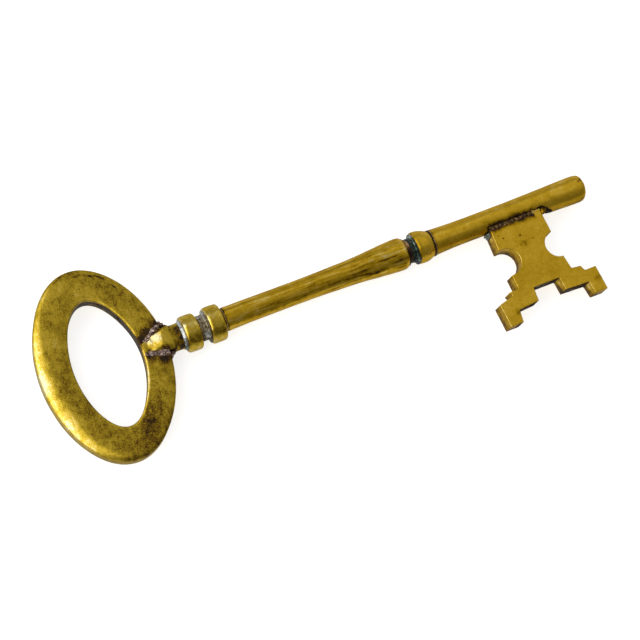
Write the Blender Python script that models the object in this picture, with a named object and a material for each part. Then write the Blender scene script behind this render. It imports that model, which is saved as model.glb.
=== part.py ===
"""Large brass bit key, about 232 mm long, built up from turned and filed pieces.

Frame: the origin is the centre of the pin's end face. +X points out of the tip, along the
key's axis, so the whole key lies at negative X. The bit hangs towards -Y. The flat faces of
the bow and the bit look along +Z (front) and -Z (back).

The way it goes together, from the bow to the tip:
    the neck's forked end straddles the bow's band and is brazed to it,
    the rear and middle collars slide over the neck's journal,
    the neck's tenon enters the rear of the shank,
    the front collar slides over the pin's journal and the pin's tenon enters the shank's mouth,
    the bit stands on a flat seat milled in the underside of the pin.
Every joint is closed with braze or solder, and each run of filler metal is a piece of its own.
"""

from math import cos, pi, radians, sin, sqrt

import bmesh
import bpy
from mathutils import Vector

MM = 0.001
GAP = 0.3 * MM              # clearance kept between neighbouring pieces
TURNED_SEGMENTS = 40        # round a turned piece
FILLER_SEGMENTS = 32        # round a ring of solder
BOW_SEGMENTS = 72           # round the bow

# ---- plates -------------------------------------------------------------------------------
PLATE_THICKNESS = 8.0 * MM
HALF_PLATE = PLATE_THICKNESS / 2

# ---- bow: an oval ring, its hole set a little towards the shaft ---------------------------
BOW_LENGTH = 49.6 * MM      # along the key
BOW_WIDTH = 76.2 * MM       # across the key
BOW_HOLE_LENGTH = 26.5 * MM
BOW_HOLE_WIDTH = 50.0 * MM
BOW_CENTRE_X = -207.4 * MM
BOW_HOLE_SHIFT = 1.4 * MM   # the hole's centre is this much nearer to the shaft
BOW_DROP = 0.8 * MM         # the bow's centre sits this far below the key's axis
BOW_OUTER_ROUND = 1.5 * MM
BOW_HOLE_ROUND = 0.9 * MM
# How far the filed outlines depart from true ovals, as a share of the radius: lean turns the
# long axis, egg makes the shaft side fuller, and point draws out the four ends.
BOW_OUTER_SHAPE = {"lean": 0.005, "egg": 0.007, "point": 0.007}
BOW_HOLE_SHAPE = {"lean": 0.015, "egg": 0.016, "point": 0.016}
BOW_EDGE_X = BOW_CENTRE_X + BOW_LENGTH / 2 * (
    1 + BOW_OUTER_SHAPE["egg"] + BOW_OUTER_SHAPE["point"])

# ---- neck: forked end, body, journal for two collars, tenon -------------------------------
FORK_RADIUS = 5.6 * MM
NECK_RADIUS = 5.2 * MM
NECK_JOURNAL_RADIUS = 4.85 * MM
NECK_TENON_RADIUS = 3.2 * MM
NECK_TENON_LENGTH = 14.0 * MM
FORK_END_X = BOW_EDGE_X - 9.7 * MM
FORK_ROOT_X = BOW_EDGE_X + GAP
FORK_TIP_UP = 1.8 * MM      # half-widths of a tine at its narrow end, above and below the axis
FORK_TIP_DOWN = 2.5 * MM

# ---- collars ------------------------------------------------------------------------------
COLLAR_ROUND = 0.7 * MM
REAR_COLLAR_X = (-175.1 * MM, -169.0 * MM)
REAR_COLLAR_RADIUS = 7.25 * MM
MIDDLE_COLLAR_X = (-165.3 * MM, -159.1 * MM)
MIDDLE_COLLAR_RADIUS = 7.4 * MM
FRONT_COLLAR_X = (-76.3 * MM, -69.4 * MM)
COLLAR_BORE_RADIUS = NECK_JOURNAL_RADIUS + GAP

# ---- shank --------------------------------------------------------------------------------
SHANK_X = (-157.9 * MM, -80.3 * MM)

# ---- pin ----------------------------------------------------------------------------------
PIN_JOURNAL_RADIUS = 4.8 * MM
PIN_TENON_RADIUS = 3.6 * MM
PIN_TENON_LENGTH = 14.0 * MM
PIN_SHOULDER_X = -68.2 * MM
PIN_FACE_RADIUS = 4.5 * MM
SEAT_X = (-45.6 * MM, -15.7 * MM)
SEAT_Y = -2.7 * MM          # the flat seat milled for the bit

# ---- bit: a stepped plate, its two halves alike but for the filing -------------------------
BIT_CENTRE_X = -32.5 * MM
BIT_ROOT_Y = SEAT_Y - GAP
BIT_EDGE_BREAK = 0.45 * MM
BITE_RADIUS = 5.5 * MM      # the round bite under each end of the root
BITE_Y = -18.95 * MM
BITE_STEPS = 9
LOBE_Y = -13.6 * MM         # underside of the root above each bite
# Each half is told by its distances from the bit's centre line: half-width of the root at its
# top and at its underside, centre of the bite, and the corners (distance, y) in millimetres
# from the top of the middle notch round the foot and up to the bite.
HEEL = {"root": 12.45 * MM, "lobe": 12.8 * MM, "bite": 11.15 * MM,
        "corners": ((5.75, -32.2), (6.05, -37.9), (15.05, -38.5), (15.6, -43.7),
                    (21.3, -43.7), (21.85, -33.9), (15.2, -32.3), (16.05, -30.6),
                    (11.85, -30.4), (12.1, -24.6))}
TOE = {"root": 10.6 * MM, "lobe": 11.1 * MM, "bite": 11.7 * MM,
       "corners": ((5.85, -32.2), (6.3, -37.65), (16.65, -38.1), (17.4, -43.2),
                   (22.95, -43.2), (22.2, -32.9), (17.3, -33.0), (16.3, -30.7),
                   (12.4, -30.25), (11.5, -24.3))}

# ---- colours ------------------------------------------------------------------------------
BRASS = (0.62, 0.45, 0.12)
DARK_BRAZE = (0.22, 0.15, 0.09)
GREY_SOLDER = (0.46, 0.46, 0.44)


def make_material(name, colour, roughness, metallic):
    material = bpy.data.materials.new(name)
    material.use_nodes = True
    shader = material.node_tree.nodes["Principled BSDF"]
    shader.inputs["Base Color"].default_value = (*colour, 1.0)
    shader.inputs["Roughness"].default_value = roughness
    shader.inputs["Metallic"].default_value = metallic
    material.diffuse_color = (*colour, 1.0)
    return material


FINISHES = {
    "brass": (BRASS, 0.32, 1.0),
    "braze": (DARK_BRAZE, 0.6, 0.8),
    "solder": (GREY_SOLDER, 0.45, 0.9),
}


def new_object(name, bm, finish):
    """Makes the object for one piece, shaded smooth except at its sharp edges."""
    bmesh.ops.recalc_face_normals(bm, faces=bm.faces)
    mesh = bpy.data.meshes.new(name)
    bm.to_mesh(mesh)
    bm.free()
    mesh.shade_smooth()
    mesh.set_sharp_from_angle(angle=radians(35))
    obj = bpy.data.objects.new(name, mesh)
    bpy.context.scene.collection.objects.link(obj)
    if finish:
        mesh.materials.append(make_material(name + "_finish", *FINISHES[finish]))
    return obj


def turned(name, profile, finish, segments=TURNED_SEGMENTS, ring=False):
    """A turned piece about the X axis. profile lists (x, radius) from the left end round to
    the right end. A ring's profile is closed, and a solid piece's starts and ends on the axis."""
    bm = bmesh.new()
    points = list(profile)
    if not ring:
        points = [(points[0][0], 0.0), *points, (points[-1][0], 0.0)]
    verts = [bm.verts.new((x, radius, 0.0)) for x, radius in points]
    edges = [bm.edges.new(pair) for pair in zip(verts, verts[1:])]
    if ring:
        edges.append(bm.edges.new((verts[-1], verts[0])))
    bmesh.ops.spin(bm, geom=verts + edges, cent=(0, 0, 0), axis=(1, 0, 0),
                   angle=2 * pi, steps=segments, use_merge=True)
    bmesh.ops.remove_doubles(bm, verts=bm.verts, dist=1e-6)
    return new_object(name, bm, finish)


def plate(name, outline, low_z, high_z, finish, edge_break=0.0):
    """A flat plate: the outline in XY, extruded from low_z to high_z, its rims broken."""
    bm = bmesh.new()
    floor = bm.faces.new([bm.verts.new((x, y, low_z)) for x, y in outline])
    grown = bmesh.ops.extrude_face_region(bm, geom=[floor])["geom"]
    lifted = [item for item in grown if isinstance(item, bmesh.types.BMVert)]
    bmesh.ops.translate(bm, verts=lifted, vec=(0, 0, high_z - low_z))
    if edge_break:
        rims = [e for e in bm.edges if abs(e.verts[0].co.z - e.verts[1].co.z) < 1e-7]
        bmesh.ops.bevel(bm, geom=rims, offset=edge_break, segments=2, profile=0.5,
                        affect="EDGES", clamp_overlap=True)
    return new_object(name, bm, finish)


def lofted(name, sections, finish, closed=False):
    """A solid through a row of sections with the same number of points each. A closed row
    makes an endless ring, and an open one gets a flat cap at each end."""
    bm = bmesh.new()
    rows = [[bm.verts.new(point) for point in section] for section in sections]
    count = len(rows[0])
    pairs = list(zip(rows, rows[1:]))
    if closed:
        pairs.append((rows[-1], rows[0]))
    for row, following in pairs:
        for i in range(count):
            j = (i + 1) % count
            bm.faces.new((row[i], row[j], following[j], following[i]))
    if not closed:
        bm.faces.new(rows[0])
        bm.faces.new(reversed(rows[-1]))
    return new_object(name, bm, finish)


def boolean(obj, operation, cutter):
    """Adds an exact Boolean to obj. The cutter is a guide, so it is hidden."""
    modifier = obj.modifiers.new(operation.lower(), "BOOLEAN")
    modifier.operation = operation
    modifier.solver = "EXACT"
    modifier.object = cutter
    cutter.hide_render = True
    cutter.display_type = "WIRE"


def round_corner(centre, radius, start, end, steps):
    """Points on an arc, angles in degrees."""
    angles = [radians(start + (end - start) * i / steps) for i in range(steps + 1)]
    return [(centre[0] + radius * cos(a), centre[1] + radius * sin(a)) for a in angles]


# ---- the bow ------------------------------------------------------------------------------

def oval_point(angle, centre_x, length, width, shape):
    """A point on a filed oval."""
    radius = (1 + shape["lean"] * sin(2 * angle) + shape["egg"] * cos(3 * angle)
              + shape["point"] * cos(4 * angle))
    return Vector((centre_x + length / 2 * radius * cos(angle),
                   width / 2 * radius * sin(angle) - BOW_DROP, 0.0))


def bow_section(angle):
    """The band's section where a ray at this angle leaves the oval: a flat bar with rounded
    edges, its outer side on the outer oval and its inner side on the hole's oval."""
    outer = oval_point(angle, BOW_CENTRE_X, BOW_LENGTH, BOW_WIDTH, BOW_OUTER_SHAPE)
    inner = oval_point(angle, BOW_CENTRE_X + BOW_HOLE_SHIFT, BOW_HOLE_LENGTH, BOW_HOLE_WIDTH,
                       BOW_HOLE_SHAPE)
    across = outer - inner
    width = across.length
    direction = across / width
    corners = (
        round_corner((width - BOW_OUTER_ROUND, HALF_PLATE - BOW_OUTER_ROUND),
                     BOW_OUTER_ROUND, 90, 0, 3)
        + round_corner((width - BOW_OUTER_ROUND, BOW_OUTER_ROUND - HALF_PLATE),
                       BOW_OUTER_ROUND, 0, -90, 3)
        + round_corner((BOW_HOLE_ROUND, BOW_HOLE_ROUND - HALF_PLATE),
                       BOW_HOLE_ROUND, 270, 180, 2)
        + round_corner((BOW_HOLE_ROUND, HALF_PLATE - BOW_HOLE_ROUND),
                       BOW_HOLE_ROUND, 180, 90, 2)
    )
    return [inner + direction * u + Vector((0, 0, z)) for u, z in corners]


def make_bow():
    angles = [2 * pi * i / BOW_SEGMENTS for i in range(BOW_SEGMENTS)]
    lofted("bow", [bow_section(a) for a in angles], "brass", closed=True)


# ---- the neck and its fork ----------------------------------------------------------------

def make_neck():
    """One bar: a round body slotted for the bow, a journal for two collars, and a tenon."""
    journal_x = REAR_COLLAR_X[0] - GAP
    shoulder_x = MIDDLE_COLLAR_X[1]
    tenon_x = SHANK_X[0] + NECK_TENON_LENGTH
    neck = turned("neck", [
        (FORK_END_X, FORK_RADIUS - 0.5 * MM),
        (FORK_END_X + 0.8 * MM, FORK_RADIUS),
        (FORK_ROOT_X + 1.0 * MM, FORK_RADIUS),
        (FORK_ROOT_X + 3.5 * MM, NECK_RADIUS),
        (journal_x, NECK_RADIUS),
        (journal_x, NECK_JOURNAL_RADIUS),
        (shoulder_x, NECK_JOURNAL_RADIUS),
        (shoulder_x, NECK_TENON_RADIUS),
        (tenon_x - 0.5 * MM, NECK_TENON_RADIUS),
        (tenon_x, NECK_TENON_RADIUS - 0.5 * MM),
    ], "brass")
    reach = 2 * FORK_RADIUS
    slot = plate("neck_slot_cutter", [
        (FORK_END_X - reach, -reach), (FORK_ROOT_X, -reach),
        (FORK_ROOT_X, reach), (FORK_END_X - reach, reach),
    ], -HALF_PLATE - GAP, HALF_PLATE + GAP, None)
    boolean(neck, "DIFFERENCE", slot)
    for name, side, tip in (("neck_upper_cutter", 1, FORK_TIP_UP),
                            ("neck_lower_cutter", -1, FORK_TIP_DOWN)):
        corner = [(FORK_END_X - MM, side * tip), (FORK_ROOT_X, side * FORK_RADIUS * 0.92),
                  (FORK_ROOT_X, side * reach), (FORK_END_X - MM, side * reach)]
        boolean(neck, "DIFFERENCE", plate(name, corner, -reach, reach, None))


# ---- collars, shank and pin ---------------------------------------------------------------

def make_plain_collar(name, span, radius):
    """A short ring with rounded rims."""
    left, right = span
    rims = [(left + COLLAR_ROUND * (1 - cos(radians(a))),
             radius - COLLAR_ROUND * (1 - sin(radians(a)))) for a in (0, 45, 90)]
    rims += [(right - COLLAR_ROUND * (1 - sin(radians(a))),
              radius - COLLAR_ROUND * (1 - cos(radians(a)))) for a in (0, 45, 90)]
    turned(name, [(left, COLLAR_BORE_RADIUS), *rims, (right, COLLAR_BORE_RADIUS)],
           "brass", ring=True)


def make_front_collar():
    """A bead: full at the shank's side, rounding down to the pin."""
    left, right = FRONT_COLLAR_X
    bore = PIN_JOURNAL_RADIUS + GAP
    turned("front_collar", [
        (left, bore),
        (left, 6.25 * MM),
        (left + 0.5 * MM, 6.6 * MM),
        (left + 1.8 * MM, 6.7 * MM),
        (left + 3.4 * MM, 6.55 * MM),
        (left + 4.8 * MM, 6.25 * MM),
        (left + 6.1 * MM, 5.72 * MM),
        (right, 5.4 * MM),
        (right, bore),
    ], "brass", ring=True)


def make_shank():
    """A slender turned grip, waisted in the middle, flaring to a full round mouth. Both ends
    are bored for the tenons, and the bores stop short of each other."""
    rear, mouth = SHANK_X
    rear_bore = NECK_TENON_RADIUS + GAP
    rear_floor = rear + NECK_TENON_LENGTH + GAP
    mouth_bore = PIN_TENON_RADIUS + GAP
    mouth_floor = mouth - PIN_TENON_LENGTH - GAP
    turned("shank", [
        (rear_floor, rear_bore),
        (rear, rear_bore),
        (rear, 4.65 * MM),
        (rear + 0.5 * MM, 4.8 * MM),
        (rear + 3.5 * MM, 4.67 * MM),
        (rear + 20 * MM, 4.57 * MM),
        (rear + 37 * MM, 4.61 * MM),
        (rear + 45 * MM, 4.8 * MM),
        (rear + 53 * MM, 5.03 * MM),
        (rear + 60 * MM, 5.42 * MM),
        (rear + 67 * MM, 6.0 * MM),
        (rear + 72 * MM, 6.4 * MM),
        (rear + 74.8 * MM, 6.52 * MM),
        (rear + 76.4 * MM, 6.4 * MM),
        (mouth - 0.3 * MM, 5.9 * MM),
        (mouth, 5.45 * MM),
        (mouth, mouth_bore),
        (mouth_floor, mouth_bore),
    ], "brass")


def make_pin():
    """The round bar that enters the lock: tenon, journal, shoulder, waist and flared tip,
    with a flat seat milled in its underside for the bit."""
    journal_x = SHANK_X[1] + GAP
    tenon_x = SHANK_X[1] - PIN_TENON_LENGTH
    pin = turned("pin", [
        (tenon_x, PIN_TENON_RADIUS - 0.5 * MM),
        (tenon_x + 0.5 * MM, PIN_TENON_RADIUS),
        (journal_x, PIN_TENON_RADIUS),
        (journal_x, PIN_JOURNAL_RADIUS),
        (PIN_SHOULDER_X, PIN_JOURNAL_RADIUS),
        (PIN_SHOULDER_X, 5.28 * MM),
        (-63.3 * MM, 5.05 * MM),
        (-58.3 * MM, 4.87 * MM),
        (-51.5 * MM, 4.82 * MM),
        (-40.8 * MM, 4.88 * MM),
        (-31.0 * MM, 4.98 * MM),
        (-18.9 * MM, 5.25 * MM),
        (-11.8 * MM, 5.45 * MM),
        (-5.0 * MM, 5.62 * MM),
        (-2.0 * MM, 5.52 * MM),
        (-0.8 * MM, 5.3 * MM),
        (-0.2 * MM, 4.95 * MM),
        (0.0, PIN_FACE_RADIUS),
    ], "brass")
    reach = 3 * PIN_JOURNAL_RADIUS
    seat = plate("pin_seat_cutter", [
        (SEAT_X[0], -reach), (SEAT_X[1], -reach), (SEAT_X[1], SEAT_Y), (SEAT_X[0], SEAT_Y),
    ], -reach, reach, None)
    boolean(pin, "DIFFERENCE", seat)


# ---- the bit ------------------------------------------------------------------------------

def bit_half(side, sign):
    """One half of the bit's outline, from the middle notch up to the root. sign is -1 at the
    heel, towards the bow, and +1 at the toe."""
    def at(offset, y):
        return (BIT_CENTRE_X + sign * offset, y)

    points = [at(offset * MM, y * MM) for offset, y in side["corners"]]
    for i in range(BITE_STEPS + 1):
        angle = radians(-82 + 164 * i / BITE_STEPS)
        points.append(at(side["bite"] - BITE_RADIUS * cos(angle),
                         BITE_Y + BITE_RADIUS * sin(angle)))
    points += [at(side["lobe"], LOBE_Y), at(side["root"], BIT_ROOT_Y)]
    return points


def make_bit():
    outline = bit_half(TOE, 1) + bit_half(HEEL, -1)[::-1]
    plate("bit", outline, -HALF_PLATE, HALF_PLATE, "brass", edge_break=BIT_EDGE_BREAK)


# ---- braze and solder ---------------------------------------------------------------------

def filler_bead(name, centreline, half_width, low_z, high_z, finish, lean=0.0):
    """A low ridge of filler metal on a flat face. centreline lists (x, y), and each section
    is a flat-topped hump with sloping sides, its crest moved towards +Y by lean."""
    sections = []
    for x, y in centreline:
        sections.append([
            Vector((x, y - half_width, low_z)),
            Vector((x, y + half_width, low_z)),
            Vector((x, y + half_width * 0.35 + lean, high_z)),
            Vector((x, y - half_width * 0.35 + lean, high_z)),
        ])
    lofted(name, sections, finish)


def make_fork_braze():
    """The fork's tines are brazed to the bow along both edges, on both faces, and a fillet
    fills the corner between the neck's side and the bow's rim, above and below."""
    inner_x = FORK_END_X + 0.9 * MM
    outer_x = BOW_EDGE_X - 0.9 * MM
    tine_half = sqrt(FORK_RADIUS ** 2 - (HALF_PLATE + GAP) ** 2)
    low = HALF_PLATE + GAP
    for face, facing in (("front", 1), ("back", -1)):
        for edge, sign, tip in (("upper", 1, FORK_TIP_UP), ("lower", -1, FORK_TIP_DOWN)):
            line = [(inner_x, sign * (tip + 2.9 * MM)), (outer_x, sign * (tine_half + 1.9 * MM))]
            filler_bead(f"fork_braze_{face}_{edge}", line, 1.35 * MM,
                        facing * low, facing * (low + 0.8 * MM), "braze",
                        lean=-sign * 0.3 * MM)
    for edge, sign in (("upper", 1), ("lower", -1)):
        inner_y = sign * (FORK_RADIUS + GAP + 0.1 * MM)
        outer_y = sign * (FORK_RADIUS + 2.6 * MM)
        corner = [(BOW_EDGE_X + 0.45 * MM, inner_y), (BOW_EDGE_X + 2.8 * MM, inner_y),
                  (BOW_EDGE_X + 1.0 * MM, sign * (FORK_RADIUS + 1.1 * MM)),
                  (BOW_EDGE_X + 0.2 * MM, outer_y)]
        plate(f"bow_fillet_{edge}", corner, -2.9 * MM, 2.9 * MM, "braze")


def solder_ring(name, corner_x, corner_radius, along, outwards, finish):
    """A fillet of solder in the corner between a bar and a collar's face. The section is a
    three-cornered ring: along the bar by `along`, and up the face by `outwards`."""
    hollow = (corner_x + along * 0.35, corner_radius + outwards * 0.35)
    turned(name, [(corner_x, corner_radius), (corner_x + along, corner_radius), hollow,
                  (corner_x, corner_radius + outwards)],
           finish, segments=FILLER_SEGMENTS, ring=True)


def seam_ring(name, left, right, inner, outer, finish):
    """Solder that fills the seam between two faces."""
    turned(name, [(left, inner), (left, outer), (right, outer), (right, inner)],
           finish, segments=FILLER_SEGMENTS, ring=True)


def make_ring_solder():
    solder_ring("rear_collar_solder", REAR_COLLAR_X[0] - GAP, NECK_RADIUS + GAP,
                -1.6 * MM, 1.3 * MM, "solder")
    solder_ring("middle_collar_solder", MIDDLE_COLLAR_X[0] - GAP, NECK_JOURNAL_RADIUS + GAP,
                -1.4 * MM, 1.6 * MM, "solder")
    solder_ring("front_collar_solder", FRONT_COLLAR_X[0] - GAP, PIN_JOURNAL_RADIUS + GAP,
                -1.4 * MM, 1.2 * MM, "solder")
    solder_ring("shank_mouth_braze", SHANK_X[1] + GAP, PIN_JOURNAL_RADIUS + GAP,
                1.1 * MM, 0.7 * MM, "braze")
    seam_ring("shank_rear_solder", MIDDLE_COLLAR_X[1] + GAP, SHANK_X[0] - GAP,
              NECK_TENON_RADIUS + GAP, 4.6 * MM, "solder")
    seam_ring("pin_shoulder_solder", FRONT_COLLAR_X[1] + GAP, PIN_SHOULDER_X - GAP,
              PIN_JOURNAL_RADIUS + GAP, 5.35 * MM, "solder")


def make_bit_braze():
    """A seam of braze on each face where the bit meets the pin, a fillet of solder at the
    heel, and braze bridging the empty end of the seat at the toe."""
    heel_x = BIT_CENTRE_X - HEEL["root"]
    toe_x = BIT_CENTRE_X + TOE["root"]
    low = HALF_PLATE + GAP
    for face, facing in (("front", 1), ("back", -1)):
        line = [(heel_x + 0.6 * MM, -5.0 * MM), (toe_x - 0.4 * MM, -5.2 * MM)]
        filler_bead(f"bit_braze_{face}", line, 1.05 * MM,
                    facing * low, facing * (low + 0.55 * MM), "braze", lean=0.2 * MM)
    heel = [(heel_x - GAP, -5.4 * MM), (heel_x - GAP, -8.0 * MM),
            (heel_x - 1.2 * MM, -6.3 * MM), (heel_x - 3.4 * MM, -5.4 * MM)]
    plate("bit_heel_solder", heel, -2.6 * MM, 2.6 * MM, "solder")
    toe = [(toe_x + GAP, SEAT_Y - GAP), (toe_x + 3.4 * MM, SEAT_Y - GAP),
           (toe_x + 2.2 * MM, -4.6 * MM), (toe_x + GAP, -6.3 * MM)]
    plate("bit_toe_braze", toe, -3.2 * MM, 3.2 * MM, "braze")


def main():
    for obj in list(bpy.data.objects):
        bpy.data.objects.remove(obj)
    make_bow()
    make_neck()
    make_plain_collar("rear_collar", REAR_COLLAR_X, REAR_COLLAR_RADIUS)
    make_plain_collar("middle_collar", MIDDLE_COLLAR_X, MIDDLE_COLLAR_RADIUS)
    make_shank()
    make_front_collar()
    make_pin()
    make_bit()
    make_fork_braze()
    make_ring_solder()
    make_bit_braze()


main()
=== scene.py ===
"""Looks for the large brass bit key.

Frame: the origin is the centre of the pin's end face, +X points out of the tip, the bit hangs
towards -Y, and the flat faces of the bow and the bit look along +Z and -Z. The key lies on a
pale floor, back face down. Lengths in this file are in millimetres until a mesh is written.
"""

from math import cos, pi, radians, sin, sqrt

import bmesh
import bpy
import numpy as np
from mathutils import Matrix, Vector, noise


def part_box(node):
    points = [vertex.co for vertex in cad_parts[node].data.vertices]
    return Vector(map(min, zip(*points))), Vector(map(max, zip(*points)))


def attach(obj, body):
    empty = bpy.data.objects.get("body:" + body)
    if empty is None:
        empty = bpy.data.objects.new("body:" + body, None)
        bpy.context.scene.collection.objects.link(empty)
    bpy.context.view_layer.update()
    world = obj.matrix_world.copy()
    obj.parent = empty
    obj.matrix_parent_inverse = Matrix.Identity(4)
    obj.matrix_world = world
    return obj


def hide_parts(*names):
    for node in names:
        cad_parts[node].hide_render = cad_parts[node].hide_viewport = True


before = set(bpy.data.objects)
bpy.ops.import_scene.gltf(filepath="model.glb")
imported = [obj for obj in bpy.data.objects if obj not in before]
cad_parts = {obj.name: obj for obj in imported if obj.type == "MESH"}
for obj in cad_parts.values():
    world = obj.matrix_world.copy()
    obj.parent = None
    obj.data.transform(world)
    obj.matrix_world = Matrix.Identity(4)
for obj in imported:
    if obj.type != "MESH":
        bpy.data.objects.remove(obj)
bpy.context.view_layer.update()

MM = 0.001


def cad_box(node):
    """Lowest and highest corner of a CAD node, in millimetres."""
    low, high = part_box(node)
    return np.array(low) / MM, np.array(high) / MM


# ---- camera -------------------------------------------------------------------------------
CAMERA_TARGET = (-123.0, -13.4, 0.0)
CAMERA_BACK = (-0.2602, -0.1841, 0.9478)    # from the target towards the camera
CAMERA_DISTANCE = 676.9
CAMERA_ROLL = 23.47                         # degrees, the key's axis against the horizon
CAMERA_LENS = 98.38


def make_camera():
    data = bpy.data.cameras.new("camera")
    camera = bpy.data.objects.new("camera", data)
    bpy.context.scene.collection.objects.link(camera)
    bpy.context.scene.camera = camera
    back = Vector(CAMERA_BACK).normalized()
    hint = Vector((sin(radians(CAMERA_ROLL)), cos(radians(CAMERA_ROLL)), 0))
    right = hint.cross(back).normalized()
    up = back.cross(right)
    placed = Matrix((right, up, back)).transposed().to_4x4()
    placed.translation = (Vector(CAMERA_TARGET) + back * CAMERA_DISTANCE) * MM
    camera.matrix_world = placed
    data.sensor_width = 36
    data.lens = CAMERA_LENS


make_camera()

# ---- measures taken from the frame --------------------------------------------------------
GAP = 0.3                   # air left between CAD bodies that touch in the real key
BOW_HIGH = cad_box("bow")[1]
HALF_PLATE = BOW_HIGH[2]
REAR_LOW, REAR_HIGH = cad_box("rear_collar")
MIDDLE_LOW, MIDDLE_HIGH = cad_box("middle_collar")
FRONT_LOW, FRONT_HIGH = cad_box("front_collar")
SHANK_LOW, SHANK_HIGH = cad_box("shank")
PIN_LOW = cad_box("pin")[0]
NECK_LOW, NECK_HIGH = cad_box("neck")
BIT_LOW, BIT_HIGH = cad_box("bit")
FLOOR_Z = min(MIDDLE_LOW[2], REAR_LOW[2])
BOW_EDGE_X = BOW_HIGH[0]
FORK_END_X = NECK_LOW[0]
SEAT_Y = BIT_HIGH[1] + GAP
HEEL_ROOT_X = cad_box("bit_heel_solder")[1][0] + GAP
TOE_ROOT_X = cad_box("bit_toe_braze")[0][0] - GAP
SEAT_END_X = cad_box("bit_toe_braze")[1][0] + 2.75
NECK_RADIUS = 5.2
JOURNAL_RADIUS = 4.85       # the neck under and between the two plain collars
NECK_TENON_RADIUS = 3.2
COLLAR_BORE = 5.15
BEAD_BORE = 5.1
PIN_JOURNAL_RADIUS = 4.8    # the pin under the bead
PIN_TENON_RADIUS = 3.6
SHANK_BORE = (3.5, 3.9)     # rear and mouth
TINE_FACE = 5.5             # how far the hammered tines stand off the key's middle plane


# ---- small tools --------------------------------------------------------------------------

def wave(points, size, seed=0, octaves=3, stretch=(1, 1, 1)):
    """Smooth noise between about -1 and 1, with features of this size in millimetres."""
    shift = np.array((seed * 7.31, seed * 3.17, seed * 5.53))
    scaled = np.asarray(points) / (size * np.array(stretch)) + shift
    return np.array([noise.fractal(Vector(p), 1.0, 2.0, octaves) for p in scaled])


def bump_at(value, centre, width):
    """A smooth hump of height 1."""
    return np.exp(-((value - centre) / width) ** 2)


def near(points, spots):
    """For each point the strongest of several soft round spots: (x, y, z, radius, strength)."""
    found = np.zeros(len(points))
    for x, y, z, radius, strength in spots:
        away = np.linalg.norm(points - np.array((x, y, z)), axis=1) / radius
        found = np.maximum(found, strength * np.exp(-away ** 2))
    return found


def finish_piece(obj, node, material, slot, soot_and_shade=None, polish_and_highlight=None):
    """Writes the soot, wear, painted shade and painted highlights onto the mesh and ties the piece
    to the frame.
    """
    mesh = obj.data
    # One attribute holds real soot and stains together with painted shade. The other holds real
    # rubbing together with painted highlights and reflections.
    for label, values in (("soot_and_shade", soot_and_shade), ("polish_and_highlight", polish_and_highlight)):
        layer = mesh.attributes.new(label, "FLOAT", "POINT")
        if values is not None:
            layer.data.foreach_set("value", np.clip(values, 0, 1).astype(np.float32))
    mesh.materials.clear()
    mesh.materials.append(material)
    mesh.shade_smooth()
    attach(obj, "root")
    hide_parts(node)
    return obj


def mesh_object(name, points, faces):
    mesh = bpy.data.meshes.new(name)
    mesh.from_pydata([tuple(p) for p in np.asarray(points) * MM], [], faces)
    bm = bmesh.new()
    bm.from_mesh(mesh)
    bmesh.ops.recalc_face_normals(bm, faces=bm.faces)
    bm.to_mesh(mesh)
    bm.free()
    obj = bpy.data.objects.new(name, mesh)
    bpy.context.scene.collection.objects.link(obj)
    return obj


def points_of(obj):
    flat = np.zeros(len(obj.data.vertices) * 3)
    obj.data.vertices.foreach_get("co", flat)
    return flat.reshape(-1, 3) / MM


def normals_of(obj):
    flat = np.zeros(len(obj.data.vertices) * 3)
    obj.data.vertices.foreach_get("normal", flat)
    return flat.reshape(-1, 3)


def move_points(obj, points):
    obj.data.vertices.foreach_set("co", (points * MM).ravel())
    obj.data.update()


def apply_modifiers(obj):
    graph = bpy.context.evaluated_depsgraph_get()
    made = bpy.data.meshes.new_from_object(obj.evaluated_get(graph))
    obj.modifiers.clear()
    obj.data = made


def fuse(obj, voxel, smoothing):
    """Melts overlapping closed shells into one skin of small faces and relaxes it."""
    remesh = obj.modifiers.new("fuse", "REMESH")
    remesh.mode = "VOXEL"
    remesh.voxel_size = voxel * MM
    relax = obj.modifiers.new("relax", "SMOOTH")
    relax.factor = 0.5
    relax.iterations = smoothing
    bpy.context.view_layer.update()
    apply_modifiers(obj)


def grid_faces(rows, columns, closed_rows, first=0):
    """Quads of a grid whose columns always close on themselves."""
    faces = []
    for i in range(rows if closed_rows else rows - 1):
        a = first + i * columns
        b = first + ((i + 1) % rows) * columns
        for j in range(columns):
            k = (j + 1) % columns
            faces.append((a + j, a + k, b + k, b + j))
    return faces


def dense(profile, step, blur):
    """A finely stepped copy of an (x, radius) profile, its corners softened over blur."""
    profile = np.array(profile, float)
    count = int(round((profile[-1, 0] - profile[0, 0]) / step)) + 1
    x = np.linspace(profile[0, 0], profile[-1, 0], count)
    radius = np.interp(x, profile[:, 0], profile[:, 1])
    reach = int(4 * blur / step)
    if reach:
        kernel = np.exp(-0.5 * (np.arange(-reach, reach + 1) * step / blur) ** 2)
        padded = np.concatenate((2 * radius[0] - radius[reach:0:-1], radius,
                                 2 * radius[-1] - radius[-2:-reach - 2:-1]))
        radius = np.convolve(padded, kernel / kernel.sum(), "valid")
    return np.column_stack((x, radius))


def along_line(corners, step):
    """Points every step or less along a broken line, keeping its corners."""
    corners = np.array(corners, float)
    found = [corners[0]]
    for a, b in zip(corners, corners[1:]):
        count = max(1, int(np.ceil(np.linalg.norm(b - a) / step)))
        found += [a + (b - a) * k / count for k in range(1, count + 1)]
    return found


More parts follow.
